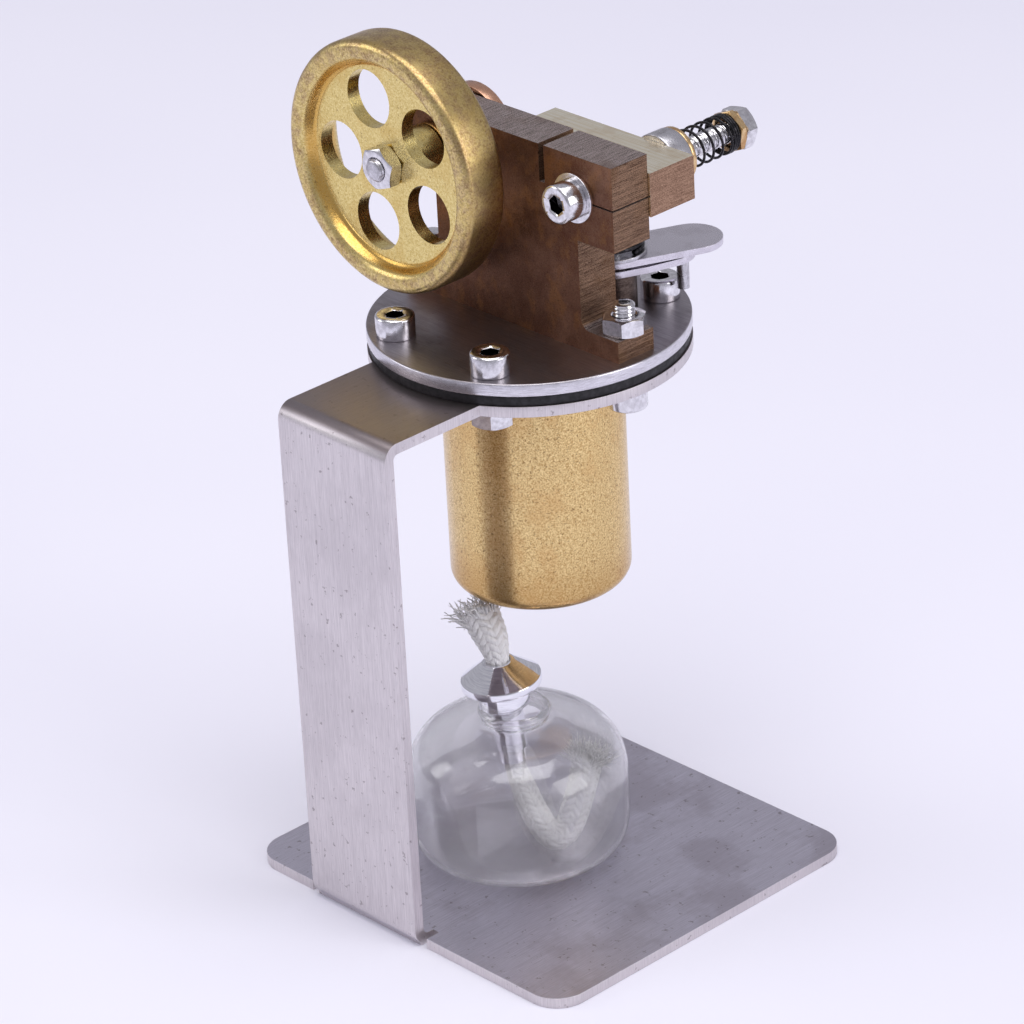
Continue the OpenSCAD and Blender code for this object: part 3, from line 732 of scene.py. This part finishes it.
# route of the wick in the burner's frame, in mm, as in the CAD: x, y, z and radius
WICK_ROUTE = [
    (12.6, 0.5, 19.5, 2.9), (11.8, -0.4, 16, 2.8), (10.2, -2.4, 11.5, 2.7), (8.4, -4, 8, 2.6),
    (6.2, -4.6, 6.7, 2.6), (4.2, -4, 8.2, 2.6), (2.4, -2.5, 11.4, 2.5), (0.9, -0.9, 15, 2.3),
    (-0.3, -0.1, 18.6, 1.95), (-0.8, 0, 22.4, 1.9), (-1.3, 0, 27.8, 1.9), (-1.8, 0, 33.6, 1.9),
    (-2.3, 0, 39.2, 1.9), (-2.6, 0.1, 41.4, 2.3), (-3.6, 1.5, 44.8, 3.2), (-5.2, 4, 47.8, 3.6)]


def burner_offset(x, y=0, z=0):
    """a step in the burner's turned frame, from mm"""
    c, s = math.cos(BURNER_TURN), math.sin(BURNER_TURN)
    return Vector((x * c - y * s, x * s + y * c, z)) * MM


def burner_point(x, y, z):
    return BURNER + burner_offset(x, y, z)


def spline(points, per):
    """smooth curve through points of any length, as in the CAD"""
    found = []
    last = len(points) - 1
    for i in range(last):
        a, b, c, d = (points[max(i - 1, 0)], points[i], points[i + 1], points[min(i + 2, last)])
        for k in range(per):
            t = k / per
            found.append([0.5 * (2 * q + (r - p) * t + (2 * p - 5 * q + 4 * r - s) * t * t
                                 + (3 * q - p - 3 * r + s) * t ** 3)
                          for p, q, r, s in zip(a, b, c, d)])
    found.append(list(points[last]))
    return found


def wick_surface(solid, path, radii):
    """round braid: columns of slanting strands that meet in chevrons"""
    rows, ridge = [], []
    run = 0
    frames = frames_along(path)
    for i, (point, heading, side, other) in enumerate(frames):
        if i:
            run += (point - path[i - 1]).length
        row = []
        for k in range(PLAIT_SIDES):
            share = k / PLAIT_SIDES * PLAIT_COLUMNS
            column, across = int(share), share % 1
            slant = (across - 0.5) * (1 if column % 2 else -1)
            strand = abs(math.sin(math.pi * (run / PLAIT_LENGTH + slant * PLAIT_SLANT)))
            hill = strand ** 0.5 * (0.45 + 0.55 * math.sin(math.pi * across) ** 0.5)
            a = TAU * k / PLAIT_SIDES
            out = side * math.cos(a) + other * math.sin(a)
            spot = (point + out * radii[i]) / MM
            fuzz = (noise.noise(spot * 2.6) + 0.6 * noise.noise(spot * 6)) * FUZZ
            row.append(point + out * (radii[i] * (1 - PLAIT_DEPTH + PLAIT_DEPTH * hill) + fuzz))
            ridge.append(hill)
        rows.append(row)
    solid.rows(rows, ridge=ridge)


def keep_inside(point):
    """keeps a fibre under the boiler and inside the glass"""
    ceiling = low("boiler_shell").z - 0.5 * MM
    point.z = min(point.z, ceiling)
    if point.z < high("glass_bowl").z - 2 * MM:
        flat = Vector((point.x, point.y, 0)) - BURNER
        limit = glass_radius(point.z - low("glass_bowl").z, GLASS_WALL + 0.4 * MM)
        if flat.length > limit:
            flat *= limit / flat.length
            point.x, point.y = BURNER.x + flat.x, BURNER.y + flat.y
    return point


def fray(solid, centre, heading, radius, count, length, spread, seed):
    """a tuft of loose, curling yarns"""
    dice = random.Random(seed)
    side = heading.orthogonal().normalized()
    other = heading.cross(side)
    for _ in range(count):
        a = dice.uniform(0, TAU)
        reach = math.sqrt(dice.random())
        out = side * math.cos(a) + other * math.sin(a)
        start = centre + out * radius * reach * 0.92 - heading * 1.2 * MM
        way = (heading + out * spread * reach * dice.uniform(0.5, 1.3)).normalized()
        curl = Vector([dice.uniform(-1, 1) for _ in range(3)]) * 0.55
        size = length * dice.uniform(0.35, 1.1)
        path = []
        point = start.copy()
        for _ in range(YARN_STEPS):
            path.append(keep_inside(point.copy()))
            way = (way + curl * 0.22).normalized()
            point = point + way * size / YARN_STEPS
        thick = dice.uniform(*YARN_RADIUS) * MM
        solid.rows(tube_rows(path, lambda t: thick * (1 - 0.55 * t), YARN_SIDES))


def make_wick():
    dense = spline(WICK_ROUTE, 30)
    line = [burner_point(*p[:3]) for p in dense]
    radii = [p[3] * MM for p in dense]
    surface = Solid()
    wick_surface(surface, line, radii)
    wick = surface.make("wick_braid", "wick_cotton", "burner", ["wick"], SMOOTH_ALL)
    tail = Solid()
    fray(tail, line[0], (line[0] - line[6]).normalized(), radii[0], count=190, length=5 * MM,
         spread=0.8, seed=3)
    tail_piece = tail.make("wick_tail_fray", "wick_cotton", "burner", sharp=SMOOTH_ALL)
    top = Solid()
    fray(top, line[-1], (line[-1] - line[-8]).normalized(), radii[-1], count=200, length=6 * MM,
         spread=0.7, seed=5)
    top_piece = top.make("wick_top_fray", "wick_cotton", "burner", sharp=SMOOTH_ALL)


# ---------- burner ----------

# bowl: wall, radii of the lip's bead and of the mouth, height of the widest place, and height
# of the dome above it; the two powers are those of the superellipses of dome and heel
GLASS_WALL = 0.7 * MM
LIP = 0.85 * MM
MOUTH = 4.9 * MM
WIDEST = 12.8 * MM
DOME = 14.6 * MM
DOME_POWER = 3
HEEL_POWER = 4.8
GLASS_SIDES = 128
FOOT_HOLE = 0.5 * MM
NECK_SPREAD = 1.6 * MM
# collar: lean in degrees, its middle in the burner's frame, height of its seat above the mouth,
# and its outline in mm as radius and height
COLLAR_LEAN, COLLAR_SHIFT, COLLAR_SEAT = 5, -1.65, 0.4 * MM
COLLAR_OUTLINE = [
    (2.15, -11.5), (2.45, -11.5), (2.55, -11.4), (2.55, -9), (2.8, -9), (2.9, -8.9), (2.9, -4),
    (3, -4), (3.1, -3.9), (3.1, 0), (4.45, 0), (4.6, 0.15), (4.6, 4), (7.1, 4), (7.24, 4.05),
    (7.3, 4.2), (7.3, 5.3), (7.22, 5.46), (7.05, 5.56), (2.95, 8.6), (2.8, 8.68), (2.6, 8.7),
    (2.25, 8.7), (2.15, 8.6)]


def glass_radius(z, inset):
    """radius of the bowl at a height above its foot, moved inwards by inset"""
    wide = high("glass_bowl").x - BURNER.x - inset
    if z > WIDEST:
        share = min((z - WIDEST) / (DOME - inset), 1)
        return wide * (1 - share ** DOME_POWER) ** (1 / DOME_POWER)
    share = min((WIDEST - z) / (WIDEST - inset), 1)
    return wide * (1 - share ** HEEL_POWER) ** (1 / HEEL_POWER)


def glass_skin(inset, steps=40):
    """radius and height of one skin of the bowl, from the middle of its foot to its neck"""
    wide = high("glass_bowl").x - BURNER.x - inset
    found = []
    for i in range(steps, -1, -1):
        a = math.pi / 2 * i / steps
        found.append((wide * math.cos(a) ** (2 / HEEL_POWER),
                      WIDEST - (WIDEST - inset) * math.sin(a) ** (2 / HEEL_POWER)))
    for i in range(1, steps):
        a = math.pi / 2 * i / steps
        found.append((wide * math.cos(a) ** (2 / DOME_POWER),
                      WIDEST + (DOME - inset) * math.sin(a) ** (2 / DOME_POWER)))
    return found


def smooth_profile(points):
    """cuts the corners of a profile"""
    cut = [points[0]]
    for (a, b), (c, d) in zip(points, points[1:]):
        cut += [(a * 0.75 + c * 0.25, b * 0.75 + d * 0.25),
                (a * 0.25 + c * 0.75, b * 0.25 + d * 0.75)]
    return cut + [points[-1]]


def make_collar():
    """turned collar: a cone with an upright rim on top of the stepped tube"""
    height = Vector((0, 0, high("glass_bowl").z + COLLAR_SEAT))
    at = Matrix.Translation(BURNER + burner_offset(COLLAR_SHIFT) + height)
    at = at @ Matrix.Rotation(BURNER_TURN, 4, "Z")
    at = at @ Matrix.Rotation(-math.radians(COLLAR_LEAN), 4, "Y")
    rows = [ring(r * MM, z * MM, 96) for r, z in COLLAR_OUTLINE]
    solid = Solid()
    solid.rows(rows + rows[:1], at, closed_ends=False)
    solid.make("burner_collar_turned", "collar_chrome", "burner", ["burner_collar"], 30)


def make_glass():
    """blown bowl: outer skin from the foot up, rolled lip, and inner skin back down"""
    foot = low("glass_bowl").z
    mouth = high("glass_bowl").z - foot
    shoulder = WIDEST + DOME
    neck = MOUTH + LIP
    outer = [p for p in glass_skin(0) if p[0] < neck + NECK_SPREAD and p[1] > WIDEST]
    body = [p for p in glass_skin(0) if p not in outer]
    throat = [(neck + 1.3 * MM, shoulder - 0.25 * MM), (neck + 0.2 * MM, shoulder + 0.1 * MM),
              (neck, shoulder + 0.9 * MM)]
    bead = [(neck + LIP * math.sin(a), mouth - LIP - LIP * math.cos(a))
            for a in (math.pi * k / 10 for k in range(1, 10))]
    throat_in = [(MOUTH, mouth - LIP), (MOUTH, shoulder + 0.2 * MM),
                 (MOUTH, shoulder - 0.7 * MM), (MOUTH + 0.7 * MM, shoulder - GLASS_WALL)]
    inner = [p for p in glass_skin(GLASS_WALL)[::-1]
             if p[0] > MOUTH + NECK_SPREAD or p[1] < WIDEST]
    profile = [p for p in body if p[0] > FOOT_HOLE] + smooth_profile(throat) + bead
    profile += smooth_profile(throat_in) + [p for p in inner if p[0] > FOOT_HOLE]
    rows = [ring(r, z, GLASS_SIDES) for r, z in profile]
    solid = Solid()
    solid.rows(rows, Matrix.Translation(BURNER + Vector((0, 0, foot))))
    solid.make("glass_bowl_blown", "clear_glass", "burner", ["glass_bowl"], 60)


# ---------- fasteners, shaft and springs ----------

PLATE_ANGLES, FOOT_ANGLES = (60, 120, 240, 300), (0, 180)
# each plate screw is turned by its angle times the first number plus the second, in degrees
PLATE_TURN = (2.7, 11)
PLATE_THREAD, FOOT_THREAD, PIVOT_THREAD = 8 * MM, 12 * MM, 19 * MM
# turns in degrees of the foot nuts, the pivot screw's socket, the flywheel's nut and, with their
# nodes and material slots, the pivot's two nuts
FOOT_NUT_TURN, PIVOT_TURN, WHEEL_NUT_TURN = -22, 14, 12
PIVOT_NUTS = (("brass_nut", "nut_brass", 8), ("lock_nut", "steel_fastener", 20))


def lifted(place, z):
    """matrix that moves to a place at this height"""
    return Matrix.Translation(place + Vector((0, 0, z)))


def round_places(reach, angles):
    """angle and point of each fastener on a circle round the boiler's axis"""
    return [(angle, Vector((reach * math.cos(math.radians(angle)),
                            reach * math.sin(math.radians(angle)), 0))) for angle in angles]


def make_plate_fasteners():
    top = high("top_plate").z
    screws, nuts = Solid(), Solid()
    length = top - low("plate_screws").z
    reach = (high("plate_screws").y - HEAD_RADIUS) / math.sin(math.radians(PLATE_ANGLES[0]))
    for angle, place in round_places(reach, PLATE_ANGLES):
        spin = turned(angle * PLATE_TURN[0] + PLATE_TURN[1])
        cap_screw(screws, lifted(place, top) @ spin, length, PLATE_THREAD)
        hex_nut(nuts, lifted(place, low("plate_nuts").z) @ spin)
    screws.make("plate_screw_set", "steel_fastener", "stand", ["plate_screws"])
    nuts.make("plate_nut_set", "steel_fastener", "stand", ["plate_nuts"])


def make_foot_fasteners():
    under = low("foot_bolts").z + HEAD_HEIGHT
    length = high("foot_bolts").z - under
    bolts, nuts = Solid(), Solid()
    flip = Matrix.Rotation(math.pi, 4, "X")
    for angle, place in round_places(high("foot_bolts").x - HEAD_RADIUS, FOOT_ANGLES):
        cap_screw(bolts, lifted(place, under) @ flip, length, FOOT_THREAD)
        hex_nut(nuts, lifted(place, low("foot_nuts").z) @ turned(angle + FOOT_NUT_TURN))
    bolts.make("foot_bolt_set", "steel_fastener", "stand", ["foot_bolts"])
    nuts.make("foot_nut_set", "steel_fastener", "stand", ["foot_nuts"])


def make_pivot_fasteners():
    centre = middle("pivot_screw")
    head_y = low("pivot_washer").y
    solid = Solid()
    at = facing((0, -1, 0), Vector((centre.x, head_y, centre.z)))
    cap_screw(solid, at @ turned(PIVOT_TURN), high("pivot_screw").y - head_y, PIVOT_THREAD)
    solid.make("pivot_cap_screw", "steel_fastener", "stand", ["pivot_screw"])
    for node, slot, turn in PIVOT_NUTS:
        solid = Solid()
        place = Vector((centre.x, low(node).y, centre.z))
        hex_nut(solid, facing((0, 1, 0), place) @ turned(turn), high(node).y - low(node).y)
        solid.make(node + "_turned", slot, "stand", [node])


def make_crankshaft():
    centre = middle("crankshaft")
    start, stop = low("crankshaft").y, high("crankshaft").y
    shaft = high("crankshaft").x - centre.x
    plain = stop - high("flywheel_nut").y
    at = facing((0, -1, 0), Vector((centre.x, stop, centre.z)))
    length = stop - start
    rows = [ring(shaft * 0.5, 0), ring(shaft - 0.2 * MM, 0), ring(shaft, 0.2 * MM),
            ring(shaft, plain)]
    rows += thread_rows(shaft, plain + 0.2 * MM, length - 0.35 * MM)
    rows += screw_end(shaft, length, 1)
    solid = Solid()
    solid.rows(rows, at)
    solid.make("threaded_crankshaft", "bright_steel", "crank", ["crankshaft"])
    solid = Solid()
    place = Vector((centre.x, low("flywheel_nut").y, centre.z))
    height = high("flywheel_nut").y - low("flywheel_nut").y
    hex_nut(solid, facing((0, 1, 0), place) @ turned(WHEEL_NUT_TURN), height, shaft)
    solid.make("flywheel_hex_nut", "steel_fastener", "crank", ["flywheel_nut"])


# profile of the flywheel in mm: radius, and depth behind the front of the rim
WHEEL_FRONT = [(2, 2.6), (17.7, 2.6), (17.95, 2.56), (18.05, 2.4), (18.35, 2.25), (18.65, 1.85),
               (18.95, 1.3), (19.25, 0.75), (19.6, 0.36), (20.05, 0.12), (20.6, 0), (21.5, 0),
               (21.95, 0.08), (22.35, 0.27), (22.68, 0.58), (22.9, 1), (23, 1.5)]
WHEEL_BACK = [(23, 7.5), (22.9, 8), (22.68, 8.42), (22.35, 8.73), (21.95, 8.92), (21.5, 9),
              (20.6, 9), (20, 8.8), (19.55, 8.3), (19.2, 7.5), (18.85, 6.5), (18.5, 5.75),
              (18.1, 5.3), (17.6, 5.2), (4.6, 5.2)]
WHEEL_SIDES, WHEEL_EDGE = 160, 0.3
HOLE_COUNT, HOLE_CIRCLE, HOLE_RADIUS, HOLE_TURN = 5, 11.9 * MM, 5.3 * MM, 109.6
HOLE_SIDES, HOLE_DEPTHS = 72, (1 * MM, 7 * MM)


def cut_away(piece, cutter):
    """takes a solid out of a piece and keeps the result as the piece's own mesh"""
    mesh = bpy.data.meshes.new("cutter")
    mesh.from_pydata(cutter.points, [], cutter.faces)
    tool = bpy.data.objects.new("cutter", mesh)
    scene.collection.objects.link(tool)
    weld(piece)
    cut = piece.modifiers.new("cut", "BOOLEAN")
    cut.operation = "DIFFERENCE"
    cut.solver = "EXACT"
    cut.object = tool
    bpy.context.view_layer.update()
    graph = bpy.context.evaluated_depsgraph_get()
    result = bpy.data.meshes.new_from_object(piece.evaluated_get(graph), depsgraph=graph)
    piece.modifiers.clear()
    piece.data = result
    bpy.data.objects.remove(tool)
    shade(result, SHARP_ANGLE)


def make_flywheel():
    """turned disc with a rounded rim, coved faces and round holes cut through its web"""
    centre = middle("crankshaft")
    front, back = low("flywheel").y, high("flywheel").y
    hub = (back - front) / MM
    bore = (high("crankshaft").x - centre.x) / MM
    across = WHEEL_FRONT + WHEEL_BACK + [(4.6, hub - 0.2), (4.4, hub), (2, hub)]
    rows = [ring(max(r, bore) * MM, d * MM, WHEEL_SIDES) for r, d in across]
    at = facing((0, 1, 0), Vector((centre.x, front, centre.z)))
    solid = Solid()
    solid.rows(rows + rows[:1], at, closed_ends=False)
    wheel = solid.make("flywheel_turned", "wheel_brass", "crank", ["flywheel"])
    cutter = Solid()
    for k in range(HOLE_COUNT):
        angle = math.radians(HOLE_TURN + 360 / HOLE_COUNT * k)
        place = Vector((centre.x + HOLE_CIRCLE * math.cos(angle), front,
                        centre.z + HOLE_CIRCLE * math.sin(angle)))
        cutter.rows([ring(HOLE_RADIUS, depth, HOLE_SIDES) for depth in HOLE_DEPTHS],
                    facing((0, 1, 0), place))
    cut_away(wheel, cutter)
    round_edges(wheel, WHEEL_EDGE)


COIL_STEPS, WIRE_SIDES = 36, 12
# wire radius, free and closed turns, and the angle at which the coil starts
PIVOT_COIL = (0.25 * MM, 4.5, 3, 0.8)
VALVE_COIL = (0.45 * MM, 3, 0, 0)


def coil_path(height, radius, wire, free, closed, start):
    """points of a coil spring along +Z whose last turns are closed"""
    shut = closed * 2.05 * wire
    run = height - 2 * wire - shut
    path = []
    for i in range(round((free + closed) * COIL_STEPS) + 1):
        t = i / COIL_STEPS
        z = wire + (run * t / free if t < free else run + shut * (t - free) / max(closed, 1))
        a = TAU * t + start
        path.append(Vector((radius * math.cos(a), radius * math.sin(a), z)))
    return path


def make_springs():
    lo, hi = BOX["pivot_spring"]
    wire = PIVOT_COIL[0]
    path = coil_path(hi.y - lo.y, (hi.x - lo.x) / 2 - wire, *PIVOT_COIL)
    at = facing((0, 1, 0), Vector(((lo.x + hi.x) / 2, lo.y, (lo.z + hi.z) / 2)))
    solid = Solid()
    solid.rows(tube_rows(path, wire, WIRE_SIDES), at)
    solid.make("pivot_coil_spring", "black_spring", "stand", ["pivot_spring"], SMOOTH_ALL)
    lo, hi = BOX["valve_spring"]
    wire = VALVE_COIL[0]
    path = coil_path(hi.z - lo.z, (hi.x - lo.x) / 2 - wire, *VALVE_COIL)
    at = Matrix.Translation(((lo.x + hi.x) / 2, (lo.y + hi.y) / 2, lo.z))
    solid = Solid()
    solid.rows(tube_rows(path, wire, WIRE_SIDES), at)
    spring = solid.make("valve_coil_spring", "black_spring", "stand", ["valve_spring"],
                        SMOOTH_ALL)
    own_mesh(spring)


# ---------- carried-over CAD nodes ----------

# widths in mm of the rounded edges
EDGE = {"stand_bracket": 0.25, "engine_frame": 0.45, "cylinder_block": 0.3, "top_plate": 0.3,
        "gasket": 0.15, "valve_lever": 0.2, "fulcrum_strip": 0.25, "pivot_collar": 0.3,
        "boiler_shell": 0.1}
OTHER_EDGES = 0.12


def finish_nodes():
    """materials for every CAD node, and small rounded edges on those that stay"""
    for name, node in frame["nodes"].items():
        node.data.materials.clear()
        node.data.materials.append(MATERIALS[SLOT_OF[name]])
        if not node.hide_render:
            weld(node)
            round_edges(node, EDGE.get(name, OTHER_EDGES))


make_camera()
make_wick()
make_light()
make_floor()
make_glass()
make_collar()
make_plate_fasteners()
make_foot_fasteners()
make_pivot_fasteners()
make_crankshaft()
make_flywheel()
make_springs()
finish_nodes()
